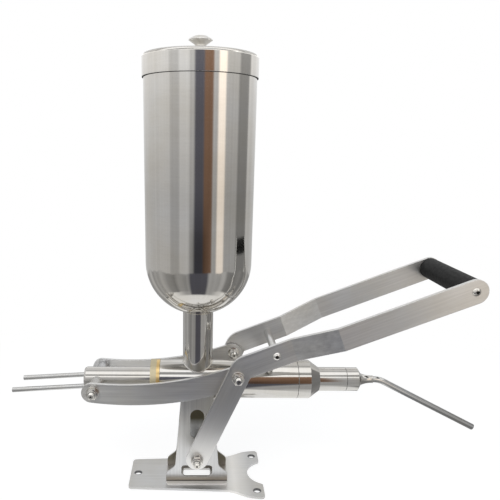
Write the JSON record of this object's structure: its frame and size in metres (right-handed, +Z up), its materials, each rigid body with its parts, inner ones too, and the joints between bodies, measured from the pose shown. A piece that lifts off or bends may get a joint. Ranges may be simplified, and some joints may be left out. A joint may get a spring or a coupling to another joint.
{
  "type": "manual donut filler",
  "caption": "Lever-driven filling pump: hopper over a horizontal barrel, plunger with needles pulled by curved links, bent nozzle, bracket and base plate.",
  "frame": {"origin": "underside of the base plate, midway between the two ear bolt holes, which is where the machine is bolted down", "axes": "+Z up; +X along the pump barrel towards the bent nozzle and the grip; +Y across, away from the side with the lock nuts"},
  "size_m": [0.6205, 0.1454, 0.5611],
  "materials": {
    "polished_steel": "mirror-polished stainless steel",
    "satin_steel": "satin-brushed stainless steel",
    "fastener_steel": "turned stainless steel",
    "yellow_brass": "turned brass, partly dulled",
    "bush_plastic": "turned low-friction plastic",
    "seal_rubber": "smooth seal rubber",
    "grip_rubber": "matte black rubber"
  },
  "bodies": {
    "stand": {"base_plate": "satin_steel", "bracket_front": "satin_steel", "bracket_rear": "satin_steel", "pivot_bolt": "fastener_steel", "pivot_nut": "fastener_steel", "pivot_washers": "fastener_steel", "pivot_sleeve": "satin_steel", "pivot_spacers": "satin_steel", "barrel": "polished_steel", "neck": "polished_steel", "hopper": "polished_steel", "gland_ring": "yellow_brass", "gland_bush": "bush_plastic", "outlet_reducer": "polished_steel", "outlet_seal": "seal_rubber", "valve_cage": "satin_steel", "end_cap": "polished_steel", "nozzle_adapter": "polished_steel", "bent_nozzle": "satin_steel"},
    "lid": {"lid": "polished_steel", "lid_knob": "polished_steel", "knob_screw": "fastener_steel"},
    "lever": {"lever_arm_front": "satin_steel", "lever_arm_rear": "satin_steel", "grip_core": "satin_steel", "grip_sleeve": "grip_rubber", "grip_screws": "fastener_steel", "tie_rod": "satin_steel", "tie_screws": "fastener_steel", "link_bolts": "fastener_steel", "link_nuts": "fastener_steel", "link_washers": "fastener_steel"},
    "plunger": {"plunger_tube": "polished_steel", "piston_head": "polished_steel", "piston_seals": "seal_rubber", "needle_holder": "satin_steel", "needle_upper": "satin_steel", "needle_lower": "satin_steel", "cross_bolt": "fastener_steel", "cross_nut": "fastener_steel", "cross_washers": "fastener_steel", "cross_spacers": "satin_steel"},
    "link_front": {"link_front": "satin_steel"},
    "link_rear": {"link_rear": "satin_steel"},
    "valve_ball": {"valve_ball": "fastener_steel"}
  },
  "joints": [
    {"name": "lever_hinge", "type": "hinge", "parent": "stand", "child": "lever", "pos_m": [-0.0795, 0, 0.0522], "axis": [0, 1, 0], "range_deg": [-25.5, 10]},
    {"name": "plunger_slide", "type": "slide", "parent": "stand", "child": "plunger", "axis": [1, 0, 0], "range_m": [-0.04985, 0.01955]},
    {"name": "link_front_hinge", "type": "hinge", "parent": "plunger", "child": "link_front", "pos_m": [-0.2095, -0.042, 0.143], "axis": [0, 1, 0], "range_deg": [-4.7, 1.84]},
    {"name": "link_rear_hinge", "type": "hinge", "parent": "plunger", "child": "link_rear", "pos_m": [-0.2095, 0.042, 0.143], "axis": [0, 1, 0], "range_deg": [-4.7, 1.84]},
    {"name": "lid_lift", "type": "slide", "parent": "stand", "child": "lid", "axis": [0, 0, 1], "range_m": [0, 0.12]},
    {"name": "ball_lift", "type": "slide", "parent": "stand", "child": "valve_ball", "axis": [1, 0, 0], "range_m": [0, 0.004]}
  ],
  "couplings": [
    {"joint": "plunger_slide", "follows": "lever_hinge", "m_per_rad": 0.112},
    {"joint": "link_front_hinge", "follows": "lever_hinge", "ratio": 0.184},
    {"joint": "link_rear_hinge", "follows": "lever_hinge", "ratio": 0.184}
  ]
}
